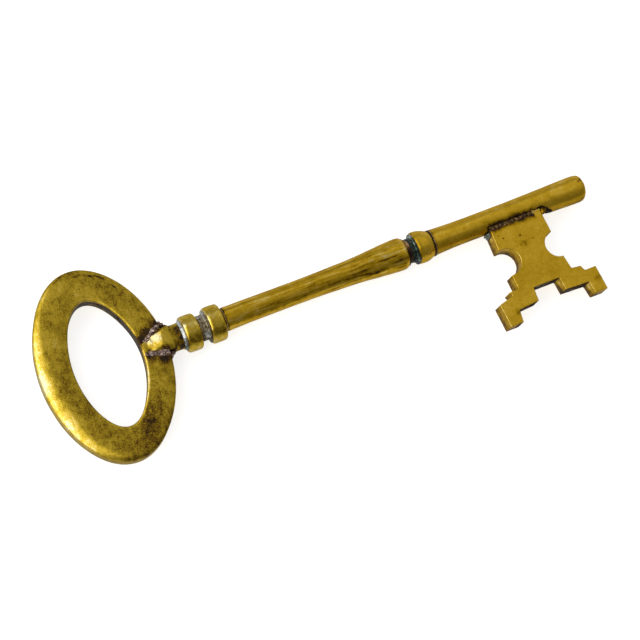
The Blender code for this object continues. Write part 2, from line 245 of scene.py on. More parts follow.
def spun(name, section, ring=False, around=160, push=None, shift=None):
    """A turned piece about the key's axis. section lists (x, radius). push(points, angles)
    gives how far each point moves out, and shift(x) how far the axis wanders in Y there."""
    section = np.array(section, float)
    angles = np.linspace(0, 2 * pi, around, endpoint=False)
    count = len(section)
    x = np.repeat(section[:, 0], around)
    radius = np.repeat(section[:, 1], around)
    turn = np.tile(angles, count)
    points = np.column_stack((x, radius * np.sin(turn), radius * np.cos(turn)))
    if push is not None:
        radius = radius + push(points, turn) * np.clip(radius, 0, 1)
        points = np.column_stack((x, radius * np.sin(turn), radius * np.cos(turn)))
    if shift is not None:
        points[:, 1] += shift(x)
    faces = grid_faces(count, around, ring)
    if not ring:
        faces.append(tuple(range(around)))
        faces.append(tuple(range((count - 1) * around, count * around)))
    return mesh_object(name, points, faces)


def blobs(name, lumps):
    """Closed ellipsoids ready to be fused: (centre, radii)."""
    bm = bmesh.new()
    for centre, radii in lumps:
        place = Matrix.Translation(Vector(centre) * MM)
        size = Matrix.Diagonal((radii[0] * MM, radii[1] * MM, radii[2] * MM, 1.0))
        bmesh.ops.create_icosphere(bm, subdivisions=3, radius=1.0, matrix=place @ size)
    mesh = bpy.data.meshes.new(name)
    bm.to_mesh(mesh)
    bm.free()
    obj = bpy.data.objects.new(name, mesh)
    bpy.context.scene.collection.objects.link(obj)
    return obj


# ---- materials ----------------------------------------------------------------------------

class Graph:
    """Adds shader nodes. An input given as a socket is linked, anything else is a value."""

    def __init__(self, name):
        self.material = bpy.data.materials.new(name)
        self.material.use_nodes = True
        self.tree = self.material.node_tree
        self.shader = self.tree.nodes["Principled BSDF"]

    def put(self, node, key, value):
        if isinstance(value, bpy.types.NodeSocket):
            self.tree.links.new(value, node.inputs[key])
        else:
            node.inputs[key].default_value = value

    def add(self, kind, inputs, out=0, **settings):
        node = self.tree.nodes.new(kind)
        for key, value in settings.items():
            setattr(node, key, value)
        for key, value in inputs.items():
            self.put(node, key, value)
        return node.outputs[out]

    def math(self, operation, *values, clamp=False):
        return self.add("ShaderNodeMath", dict(enumerate(values)), operation=operation,
                        use_clamp=clamp)

    def noise(self, size, detail=4.0, rough=0.6, seed=0.0, stretch=(1, 1, 1)):
        """Noise with features of this size in millimetres, drawn out along stretch."""
        where = self.tree.nodes.new("ShaderNodeTexCoord").outputs["Object"]
        scale = tuple(1 / (MM * size * s) for s in stretch)
        placed = self.add("ShaderNodeMapping", {
            "Vector": where, "Scale": scale, "Location": (seed * 3.7, seed * 1.9, seed * 2.3)})
        return self.add("ShaderNodeTexNoise", {
            "Vector": placed, "Scale": 1.0, "Detail": detail, "Roughness": rough})

    def attribute(self, name):
        return self.add("ShaderNodeAttribute", {}, out="Fac", attribute_name=name)

    def ramp(self, value, stops):
        node = self.tree.nodes.new("ShaderNodeValToRGB")
        elements = node.color_ramp.elements
        while len(elements) < len(stops):
            elements.new(0.5)
        for element, (place, colour) in zip(elements, stops):
            element.position = place
            element.color = (*colour, 1.0)
        self.put(node, "Fac", value)
        return node.outputs["Color"]

    def span(self, value, low, high, to_low, to_high):
        return self.add("ShaderNodeMapRange", {
            "Value": value, "From Min": low, "From Max": high,
            "To Min": to_low, "To Max": to_high})

    def total(self, base, *terms):
        """base plus each (value, weight, centre): weight times how far value is from centre."""
        result = base
        for value, weight, centre in terms:
            part = self.math("MULTIPLY_ADD", value, weight, -centre * weight)
            result = self.math("ADD", result, part)
        return result


PALE = (0.93, 0.82, 0.42)
GOLD = (0.80, 0.545, 0.055)
OLIVE = (0.52, 0.355, 0.025)
BROWN = (0.21, 0.115, 0.010)
# Black end of the brass: real soot and painted shade both reach it.
SOOT_AND_SHADE_BLACK = (0.035, 0.02, 0.012)
BOW_METAL = (PALE, GOLD, OLIVE, BROWN)
BAR_METAL = ((0.95, 0.78, 0.30), (0.86, 0.53, 0.035), (0.58, 0.345, 0.010),
             (0.24, 0.12, 0.006))
GRAZING = (0.88, 0.82, 0.66, 1.0)      # tint of reflections at a low angle
AGE_STOPS = (0.0, 0.22, 0.5, 0.76, 1.0)


def aged_brass(name, seed, age=0.34, streak=(1, 1, 1), streak_size=1.2, streaks=0.5,
               mottle=0.5, clouds=0.5, grain=0.35, roughness=(0.26, 0.5), relief=1.0,
               metal=BAR_METAL):
    """Handled brass. age is how far it has gone from pale gold to brown. clouds, mottle,
    grain and streaks are how much it varies. The marks on the mesh turn it sooty at joints
    and stains and dark where shade is painted. They turn it pale where hands and cloth have
    rubbed it and where highlights and reflections are painted."""
    g = Graph(name)
    cloud = g.noise(11.0, 3, 0.55, seed)
    blotch = g.noise(2.6, 5, 0.68, seed + 1)
    fine = g.noise(0.42, 3, 0.6, seed + 2)
    drawn = g.noise(streak_size, 4, 0.6, seed + 3, streak)
    soot_and_shade = g.attribute("soot_and_shade")
    polish_and_highlight = g.attribute("polish_and_highlight")
    aged = g.total(age, (cloud, clouds, 0.5), (blotch, mottle, 0.5), (fine, grain, 0.5),
                   (drawn, streaks, 0.5))
    # Soot and painted shade push the colour towards black and make it less metallic. Polish and
    # painted highlights push it towards pale gold.
    soot_and_shade_depth = g.math("MULTIPLY", soot_and_shade, g.span(blotch, 0.3, 0.65, 0.55, 1.25))
    aged = g.math("ADD", aged, g.math("MULTIPLY", soot_and_shade_depth, 0.95))
    aged = g.math("SUBTRACT", aged, g.math("MULTIPLY", polish_and_highlight, 0.5), clamp=True)
    colour = g.ramp(aged, list(zip(AGE_STOPS, (*metal, SOOT_AND_SHADE_BLACK))))
    g.put(g.shader, "Base Color", colour)
    g.put(g.shader, "Metallic", g.span(soot_and_shade_depth, 0.45, 0.9, 1.0, 0.05))
    g.put(g.shader, "Specular IOR Level", g.span(soot_and_shade_depth, 0.45, 0.9, 0.5, 0.0))
    g.put(g.shader, "Specular Tint", GRAZING)
    g.put(g.shader, "Roughness", g.span(aged, 0.1, 0.9, *roughness))
    height = g.total(0.0, (fine, 0.22, 0.5), (blotch, 0.5, 0.5), (drawn, 0.35, 0.5))
    normal = g.add("ShaderNodeBump", {"Height": height, "Strength": 0.55,
                                      "Distance": 0.00016 * relief})
    g.put(g.shader, "Normal", normal)
    return g.material


def filler(name, seed, stops, size=1.1, metallic=0.7, roughness=(0.3, 0.6), relief=1.0,
           gleam=0.0, contrast=2.1):
    """Braze or solder left as it ran: blotches of several colours on a lumpy skin."""
    g = Graph(name)
    blotch = g.noise(size, 5, 0.7, seed)
    fine = g.noise(size * 0.22, 3, 0.6, seed + 1)
    soot_and_shade = g.attribute("soot_and_shade")
    polish_and_highlight = g.attribute("polish_and_highlight")
    # Soot and painted shade darken the filler. Polish and painted highlights pale it.
    mixed = g.total(0.5, (blotch, contrast, 0.5), (fine, 0.5, 0.5), (soot_and_shade, 0.6, 0.0),
                    (polish_and_highlight, -0.6, 0.0))
    mixed = g.math("ADD", mixed, gleam, clamp=True)
    g.put(g.shader, "Base Color", g.ramp(mixed, stops))
    g.put(g.shader, "Metallic", metallic)
    g.put(g.shader, "Roughness", g.span(mixed, 0.0, 1.0, *roughness))
    height = g.total(0.0, (blotch, 0.7, 0.5), (fine, 0.3, 0.5))
    normal = g.add("ShaderNodeBump", {"Height": height, "Strength": 0.8,
                                      "Distance": 0.00025 * relief})
    g.put(g.shader, "Normal", normal)
    return g.material


PURPLE_BRAZE = [(0.0, (0.80, 0.70, 0.68)), (0.25, (0.50, 0.39, 0.35)), (0.5, (0.30, 0.19, 0.14)),
                (0.7, (0.12, 0.06, 0.035)), (1.0, (0.03, 0.015, 0.012))]
BLACK_BRAZE = [(0.0, (0.82, 0.55, 0.10)), (0.25, (0.34, 0.19, 0.05)), (0.5, (0.07, 0.03, 0.012)),
               (1.0, (0.012, 0.008, 0.008))]
SILVER = [(0.0, (0.90, 0.94, 0.96)), (0.4, (0.55, 0.58, 0.56)), (0.7, (0.22, 0.24, 0.2)),
          (1.0, (0.03, 0.035, 0.04))]
VERDIGRIS = [(0.0, (0.62, 0.66, 0.62)), (0.3, (0.16, 0.2, 0.16)), (0.6, (0.02, 0.04, 0.03)),
             (1.0, (0.004, 0.01, 0.008))]
DIRTY_SOLDER = [(0.0, (0.90, 0.95, 0.98)), (0.25, (0.55, 0.58, 0.56)), (0.5, (0.34, 0.27, 0.14)),
                (0.7, (0.16, 0.11, 0.05)), (1.0, (0.03, 0.03, 0.03))]
SPECKLED_SEAM = [(0.0, (0.62, 0.44, 0.12)), (0.35, (0.24, 0.14, 0.04)),
                 (0.6, (0.06, 0.03, 0.015)), (1.0, (0.01, 0.007, 0.006))]
COPPERY = [(0.0, (0.60, 0.38, 0.20)), (0.3, (0.26, 0.12, 0.05)), (0.55, (0.05, 0.02, 0.015)),
           (1.0, (0.008, 0.006, 0.006))]


# ---- bow ----------------------------------------------------------------------------------
BOW_CENTRE = (-207.4, -0.8)
BOW_SIZE = (49.6, 76.2)
HOLE_CENTRE = (-206.0, -0.8)
HOLE_SIZE = (26.5, 50.0)
BOW_SHAPE = (0.005, 0.007, 0.007)
HOLE_SHAPE = (0.015, 0.016, 0.016)
BOW_STEPS = 560
# Old scratches on the front: start and end in degrees round the bow, depth in from the rim
# as a share of the band, how much deeper it gets towards its end, and how dark it is.
SCRATCHES = ((58, 88, 0.14, 0.09, 0.9), (48, 55, 0.24, 0.02, 0.8), (93, 112, 0.09, -0.01, 0.4),
             (262, 290, 0.45, 0.1, 0.3), (276, 300, 0.62, -0.06, 0.3), (20, 40, 0.3, 0.05, 0.25))


def oval(angle, centre, size, shape):
    """Points on a filed oval, whose radius leans, fattens towards the shaft and is pointed."""
    lean, egg, point = shape
    radius = 1 + lean * np.sin(2 * angle) + egg * np.cos(3 * angle) + point * np.cos(4 * angle)
    return np.column_stack((centre[0] + size[0] / 2 * radius * np.cos(angle),
                            centre[1] + size[1] / 2 * radius * np.sin(angle)))


def band_section(width, outer_front, outer_back, inner_front, inner_back, crown):
    """Section of the bow's band: (across, z) points, each corner with its own round."""
    def arc(cx, cz, rx, rz, start, end, steps):
        turn = np.radians(np.linspace(start, end, steps))
        return np.column_stack((cx + rx * np.cos(turn), cz + rz * np.sin(turn)))

    top, base = HALF_PLATE, -HALF_PLATE
    of, ob, nf, nb = outer_front, outer_back, inner_front, inner_back
    side = np.concatenate((
        arc(width - of[0], top - of[1], of[0], of[1], 90, 0, 14),
        np.column_stack((np.full(5, width), np.linspace(top - of[1], base + ob, 7)[1:-1])),
        arc(width - ob, base + ob, ob, ob, 0, -90, 7),
        np.column_stack((np.linspace(width - ob, nb, 14)[1:-1], np.full(12, base))),
        arc(nb, base + nb, nb, nb, 270, 180, 6),
        np.column_stack((np.zeros(5), np.linspace(base + nb, top - nf[1], 7)[1:-1])),
        arc(nf[0], top - nf[1], nf[0], nf[1], 180, 90, 9),
        np.column_stack((np.linspace(nf[0], width - of[0], 22)[1:-1], np.full(20, top))),
    ))
    middle = (side[:, 0] / width * 2 - 1) ** 2
    side[:, 1] -= crown * middle * (side[:, 1] > 0)
    return side


def make_bow():
    angle = np.linspace(0, 2 * pi, BOW_STEPS, endpoint=False)
    outer = oval(angle, BOW_CENTRE, BOW_SIZE, BOW_SHAPE)
    inner = oval(angle, HOLE_CENTRE, HOLE_SIZE, HOLE_SHAPE)
    rows = []
    far = bump_at(angle, radians(188), radians(46))
    low = bump_at(angle, radians(250), radians(40))
    for i in range(BOW_STEPS):
        across = outer[i] - inner[i]
        width = np.hypot(*across)
        broad = 1.3 + 4.4 * far[i] + 1.2 * low[i]
        deep = 0.9 + 1.3 * far[i] + 0.6 * low[i]
        hole = 0.6 + 1.7 * far[i] + 0.7 * low[i]
        section = band_section(width, (broad, deep), 1.1, (hole, 0.5 + 0.3 * far[i]), 0.6,
                               0.20 + 0.16 * far[i])
        spot = inner[i] + across / width * section[:, :1]
        rows.append(np.column_stack((spot, section[:, 1])))
    columns = len(rows[0])
    points = np.concatenate(rows)
    turn = np.repeat(angle, columns)
    share = np.concatenate([np.linalg.norm(row[:, :2] - inner[i], axis=1)
                            / np.hypot(*(outer[i] - inner[i])) for i, row in enumerate(rows)])
    front = points[:, 2] > 0
    points[:, 2] += 0.10 * wave(points, 13, 3, 2) * np.sign(points[:, 2])
    points[:, :2] += 0.05 * np.column_stack((wave(points, 9, 5, 2), wave(points, 9, 6, 2)))
    scratch = np.zeros(len(points))
    for start, end, depth, drift, strength in SCRATCHES:
        along = (turn - radians(start)) / radians(end - start)
        line = 1 - depth - drift * along + 0.012 * np.sin(turn * 23)
        inside = np.clip(np.minimum(along, 1 - along) * 8, 0, 1) * front
        scratch = np.maximum(scratch, strength * inside * bump_at(share, line, 0.014))
    points[:, 2] -= 0.10 * scratch
    obj = mesh_object("bow_skin", points, grid_faces(BOW_STEPS, columns, True))
    # Painted highlight: the front is paled along the rounded outer edge on the side away from the
    # shaft, where the window's highlight lies.
    rim = bump_at(share, 0.90, 0.16) * far.repeat(columns) * front
    lower_right = bump_at(turn, radians(330), radians(55))
    # Painted highlight: a pale line along the hole's front rim, strongest at its lower right.
    hole_rim = bump_at(share, 0.03, 0.05) * front * (0.15 + 0.85 * lower_right)
    fork = near(points, [(BOW_EDGE_X - 2, 6.6, 4, 2.6, 0.6), (BOW_EDGE_X - 3, -6.6, 4, 2.2, 0.6),
                         (BOW_EDGE_X - 8.5, 3.4, 4, 2.4, 0.7), (BOW_EDGE_X - 5.5, 5, 4, 2.0, 0.7),
                         (BOW_EDGE_X - 8, -4.8, 4, 1.8, 0.6), (BOW_EDGE_X - 3, 7, -4, 4.5, 0.6),
                         (BOW_EDGE_X - 3, -7, -4, 4.5, 0.6)])
    # Painted shade: the front darkens towards the bow's lower right.
    painted_shade_lower_right = 0.17 * bump_at(turn, radians(295), radians(48)) * front
    # Painted shade: the wall inside the hole is darkened, less at its lower right.
    inside = (0.75 - 0.35 * lower_right) * (share < 0.03) * (points[:, 2] < 3.1)
    soot_and_shade = np.maximum(np.maximum(fork + painted_shade_lower_right, 0.95 * scratch), inside)
    material = aged_brass("bow_brass", 1, age=0.51, streak=(1, 2.5, 1), streak_size=1.6,
                          streaks=0.6, mottle=0.6, clouds=0.95, grain=1.15,
                          roughness=(0.30, 0.46), metal=BOW_METAL)
    finish_piece(obj, "bow", material, "brass", soot_and_shade, rim * 0.8 + hole_rim)


# ---- neck ---------------------------------------------------------------------------------

def fork_tine(side):
    """Points and faces of the hammered tine on one face of the bow; side is 1 or -1."""
    steps_x, steps_y = 26, 22
    base = HALF_PLATE + 0.06
    xs = np.linspace(FORK_END_X + 0.3, BOW_EDGE_X + 2.2, steps_x)
    tops, bottoms = [], []
    for x in xs:
        t = (x - xs[0]) / (BOW_EDGE_X - xs[0])
        up = 1.2 + 3.3 * min(t, 1.15) ** 0.8
        down = -(2.3 + 2.3 * min(t, 1.15) ** 0.9)
        for k in range(steps_y):
            y = down + (up - down) * k / (steps_y - 1)
            dome = min(TINE_FACE, sqrt(max(6.9 ** 2 - y * y, 0.1)))
            facet = TINE_FACE + 0.22 * (x - (BOW_EDGE_X - 1.6)) - 0.05 * (y - 1)
            lower = TINE_FACE + 0.1 + 0.10 * (x - (BOW_EDGE_X - 0.6)) + 0.50 * (y + 2.2)
            edge = min(y - down, up - y)
            height = min(dome, facet, lower, base + 0.25 + edge * 1.3)
            tops.append((x, y, side * max(height, base + 0.2)))
            bottoms.append((x, y, side * base))
    count = steps_x * steps_y
    faces = []
    for i in range(steps_x - 1):
        for j in range(steps_y - 1):
            a = i * steps_y + j
            quad = (a, a + 1, a + steps_y + 1, a + steps_y)
            faces.append(quad)
            faces.append(tuple(count + v for v in reversed(quad)))
    rim = [j for j in range(steps_y)]
    rim += [i * steps_y + steps_y - 1 for i in range(1, steps_x)]
    rim += [(steps_x - 1) * steps_y + j for j in range(steps_y - 2, -1, -1)]
    rim += [i * steps_y for i in range(steps_x - 2, 0, -1)]
    for a, b in zip(rim, rim[1:] + rim[:1]):
        faces.append((a, b, count + b, count + a))
    return tops + bottoms, faces


def make_neck():
    journal = REAR_LOW[0] - GAP
    body = [(BOW_EDGE_X + 0.25, 0.2), (BOW_EDGE_X + 0.3, 5.5), (BOW_EDGE_X + 0.9, 5.42),
            (BOW_EDGE_X + 2.0, 5.3), (BOW_EDGE_X + 3.6, 5.12), (journal, NECK_RADIUS),
            (journal + 0.05, JOURNAL_RADIUS), (MIDDLE_HIGH[0], JOURNAL_RADIUS),
            (MIDDLE_HIGH[0] + 0.05, NECK_TENON_RADIUS), (NECK_HIGH[0] - 0.4, NECK_TENON_RADIUS),
            (NECK_HIGH[0], NECK_TENON_RADIUS - 0.4), (NECK_HIGH[0] + 0.05, 0.2)]
    obj = spun("neck_skin", body, around=120)
    shells = [obj]
    for side in (1, -1):
        points, faces = fork_tine(side)
        shells.append(mesh_object("tine", points, faces))
    bm = bmesh.new()
    for shell in shells:
        bm.from_mesh(shell.data)
    bm.to_mesh(obj.data)
    bm.free()
    for shell in shells[1:]:
        bpy.data.objects.remove(shell)
    fuse(obj, 0.2, 3)
    points = points_of(obj)
    normal = normals_of(obj)
    hammered = bump_at(points[:, 0], BOW_EDGE_X - 4.5, 5.0) * (np.abs(points[:, 2]) > 4.4)
    swell = 0.05 * wave(points, 3.4, 11, 2) + hammered * 0.09 * wave(points, 1.7, 12, 2)
    swell = swell * (points[:, 0] < journal + 8)
    points = points + normal * swell[:, None]
    points[:, 1] -= 0.1 * np.clip((points[:, 0] - BOW_EDGE_X - 2) / 3, 0, 1)
    move_points(obj, points)
    edge = BOW_EDGE_X
    soot_and_shade = near(points, [
        (journal - 1.6, 1.5, 5, 2.3, 0.75), (journal - 0.8, -1.5, 5, 2.0, 0.8),
        (journal - 1.5, -4.5, 2.5, 2.6, 0.8), (edge + 0.5, 5.0, 2.5, 2.2, 0.9),
        (edge + 2.2, 2.6, 4.6, 0.9, 0.7), (edge - 2.0, -4.2, 4.4, 2.2, 0.75),
        (edge - 6.5, 3.2, 4.3, 1.2, 0.6), (edge + 2.0, -4.5, 2.5, 2.2, 0.75),
        (edge + 4.0, -3.4, 4.0, 1.3, 0.7), (edge + 2.6, -2.6, 4.6, 1.0, 0.55),
        (edge + 5.6, 3.0, 4.4, 1.2, 0.6), (edge + 2.8, 0.2, 5.4, 0.7, 0.35),
        (edge - 7.5, -1.6, 4.4, 1.4, 0.5), (edge + 1.5, 5.0, -2.0, 3.5, 0.8),
        (edge + 1.5, -5.0, -2.0, 3.5, 0.8), (edge - 3, 0, -5.2, 4.0, 0.4)])
    groove = (points[:, 0] > journal + 0.5) * (0.42 + 0.2 * wave(points, 1.3, 14, 2))
    # Painted highlight: two pale spots on the flat hammered facet of the front tine.
    polish_and_highlight = near(points, [(edge - 3.2, 1.6, 5.2, 2.8, 1.0), (edge - 6.0, 1.0, 4.6, 2.4, 1.0)])
    material = aged_brass("neck_brass", 2, age=0.42, streak=(0.5, 3, 3), streak_size=0.9,
                          streaks=0.55, mottle=0.8, clouds=0.4, grain=0.6,
                          roughness=(0.24, 0.5), relief=1.3, metal=BOW_METAL)
    finish_piece(obj, "neck", material, "brass", np.maximum(soot_and_shade, groove), polish_and_highlight)


# ---- collars ------------------------------------------------------------------------------

def collar_section(low_x, high_x, bore, radius, round_left, round_right):
    """Closed (x, radius) section of a collar with softened rims."""
    section = [(low_x, r) for r in np.linspace(bore, radius - round_left, 6)]
    for turn in np.radians(np.linspace(0, 90, 9)):
        section.append((low_x + round_left * (1 - cos(turn)),
                        radius - round_left * (1 - sin(turn))))
    for x in np.linspace(low_x + round_left, high_x - round_right, 14)[1:-1]:
        section.append((x, radius))
    for turn in np.radians(np.linspace(90, 0, 9)):
        section.append((high_x - round_right * (1 - cos(turn)),
                        radius - round_right * (1 - sin(turn))))
    section += [(high_x, r) for r in np.linspace(radius - round_right, bore, 6)]
    return section


def make_collar(name, low, high, seed, drop):
    """A plain hand-finished collar that sits drop lower than the axis."""
    def push(points, turn):
        belly = 0.10 * np.sin(2 * turn + seed) + 0.06 * np.sin(3 * turn + 2.1 * seed)
        middle = (points[:, 0] - low[0]) / (high[0] - low[0]) * 2 - 1
        outside = np.hypot(points[:, 1], points[:, 2]) > COLLAR_BORE + 0.4
        return outside * (belly + 0.02 + 0.09 * wave(points, 2.8, seed, 2) - 0.20 * middle ** 2)

    section = collar_section(low[0], high[0], COLLAR_BORE, high[2], 1.0, 0.9)
    obj = spun(name + "_skin", section, ring=True, push=push, shift=lambda x: x * 0 - drop)
    points = points_of(obj)
    left = bump_at(points[:, 0], low[0] + 0.15, 0.35)
    radial = np.hypot(points[:, 1], points[:, 2])
    front = points[:, 2] > 0
    # Painted highlights: the upper part of the left rim is paled. On the front, a broad pale band
    # runs just above the axis and a narrow one near the bottom, where the floor is mirrored.
    polish_and_highlight = 0.7 * left * (radial > high[2] - 1.1) * (points[:, 1] > -4)
    polish_and_highlight = polish_and_highlight + front * (0.28 * bump_at(points[:, 1], 1.5, 2.2)
                               + 0.40 * bump_at(points[:, 1], -7.0, 0.9))
    # Painted shade: a dark band across the front, between the two pale bands. The line after it
    # darkens the right face near the bore.
    soot_and_shade = 0.26 * bump_at(points[:, 1], -4.9, 1.6) * front
    soot_and_shade = soot_and_shade + 0.6 * bump_at(points[:, 0], high[0], 0.5) * (radial < high[2] - 0.5)
    material = aged_brass(name + "_brass", 3 + seed, age=0.36, streak=(1, 1, 1),
                          streak_size=1.5, streaks=0.6, mottle=1.0, clouds=0.5, grain=0.5,
                          roughness=(0.2, 0.42), metal=BOW_METAL)
    finish_piece(obj, name, material, "brass", soot_and_shade, polish_and_highlight)


def make_front_collar():
    left, right = FRONT_LOW[0], FRONT_HIGH[0]
    outline = [(left, 6.05), (left + 0.25, 6.35), (left + 0.6, 6.55), (left + 1.8, 6.7),
               (left + 3.4, 6.55), (left + 4.8, 6.25), (left + 6.1, 5.72), (right, 5.3)]
    section = [(left, r) for r in np.linspace(BEAD_BORE, 5.9, 5)]
    section += [tuple(row) for row in dense(outline, 0.15, 0.18)]
    section += [(right, 5.2), (right, BEAD_BORE)]

    def push(points, turn):
        return 0.06 * np.sin(2 * turn + 1) + 0.05 * wave(points, 2.6, 21, 2)

    obj = spun("front_collar_skin", section, ring=True, push=push,
               shift=lambda x: 0.15 - 0.06 * (x - left))
    points = points_of(obj)
    radial = np.hypot(points[:, 1], points[:, 2])
    polish_and_highlight = 0.5 * bump_at(points[:, 0], left, 0.12) * (radial > 5.7)
    soot_and_shade = 0.2 * bump_at(points[:, 0], right, 0.3)
    soot_and_shade = soot_and_shade + 0.45 * bump_at(points[:, 0], left + 0.3, 0.3) * (radial > 5.9)
    material = aged_brass("front_collar_brass", 9, age=0.30, streak_size=1.8, streaks=0.4,
                          mottle=0.6, clouds=0.4, grain=0.35, roughness=(0.22, 0.42))
    finish_piece(obj, "front_collar", material, "brass", soot_and_shade, polish_and_highlight)


# ---- shank and pin ------------------------------------------------------------------------
SHANK_OUTLINE = [(0, 4.62), (0.5, 4.78), (3.5, 4.67), (11.4, 4.62), (20, 4.57), (30, 4.58),
                 (37, 4.61), (43.4, 4.76), (49.9, 4.93), (53, 5.03), (56.4, 5.18), (59.7, 5.4),
                 (63, 5.7), (66.3, 5.96), (69.6, 6.25), (72.9, 6.45), (74.5, 6.51),
                 (75.8, 6.46), (76.6, 6.3), (77.1, 5.95), (77.6, 5.45)]
PIN_OUTLINE = [(-68.2, 5.28), (-66.7, 5.2), (-65.0, 5.12), (-63.3, 5.05), (-61.6, 4.96),
               (-58.2, 4.87), (-51.5, 4.82), (-44.8, 4.86), (-31.0, 4.98), (-18.9, 5.25),
               (-11.8, 5.45), (-8.3, 5.55), (-4.8, 5.62), (-2.4, 5.58), (-1.2, 5.42),
               (-0.6, 5.2), (-0.25, 4.95), (0.0, 4.55)]


def make_shank():
    rear = SHANK_LOW[0]
    outline = dense([(rear + x, r) for x, r in SHANK_OUTLINE], 0.35, 0.35)
    mouth = outline[-1, 0]
    rear_bore, mouth_bore = SHANK_BORE
    section = [(rear, r) for r in np.linspace(rear_bore, outline[0, 1] - 0.15, 5)]
    section += [tuple(row) for row in outline]
    section += [(mouth, r) for r in np.linspace(outline[-1, 1] - 0.2, mouth_bore, 5)]
    section += [(x, mouth_bore) for x in np.linspace(mouth - 1, mouth - 13, 4)]
    section += [(mouth - 14, 1.5), (rear + 14, 1.5)]
    section += [(x, rear_bore) for x in np.linspace(rear + 13, rear + 1, 4)]

    def push(points, turn):
        lines = wave(points, 1.3, 31, 3, stretch=(16, 1, 1))
        outside = np.hypot(points[:, 1], points[:, 2]) > 4.2
        return outside * (0.035 * lines + 0.035 * wave(points, 6, 32, 2) + 0.03 * np.sin(2 * turn))

    def shift(x):
        return np.interp(x, (rear, rear + 9, rear + 40, rear + 77), (-0.1, 0.05, 0.1, 0.05))

    obj = spun("shank_skin", section, ring=True, around=192, push=push, shift=shift)
    points = points_of(obj)
    share = (points[:, 0] - rear) / (mouth - rear)
    turn = np.degrees(np.arctan2(points[:, 1], points[:, 2]))
    # Painted shade: a dark band along the lower front flank, broken by the drawn grain and growing
    # towards the mouth.
    shaded_flank = bump_at(turn, -38, 20) * (0.16 + 0.2 * share)
    grain = wave(points, 1.2, 33, 3, stretch=(12, 1, 1))
    flare = np.clip((share - 0.5) * 3, 0, 1)
    streak = flare * np.clip(grain * 2.2 - 0.25, 0, 1) * bump_at(turn, -15, 55) * 0.36
    soot_and_shade = shaded_flank * np.clip(0.6 + 1.6 * grain, 0, 1.2) + streak
    soot_and_shade = np.maximum(soot_and_shade, 0.7 * bump_at(points[:, 0], rear, 0.45))
    # Painted highlight: the first term pales a line along the upper front.
    polish_and_highlight = 0.12 * bump_at(turn, 12, 20) + 0.3 * bump_at(points[:, 0], mouth - 1.3, 0.7)
    material = aged_brass("shank_brass", 14, age=0.36, streak=(14, 1, 1), streak_size=0.75,
                          streaks=1.5, mottle=0.7, clouds=0.45, grain=0.5,
                          roughness=(0.2, 0.42), relief=1.1)
    finish_piece(obj, "shank", material, "brass", soot_and_shade, polish_and_highlight)


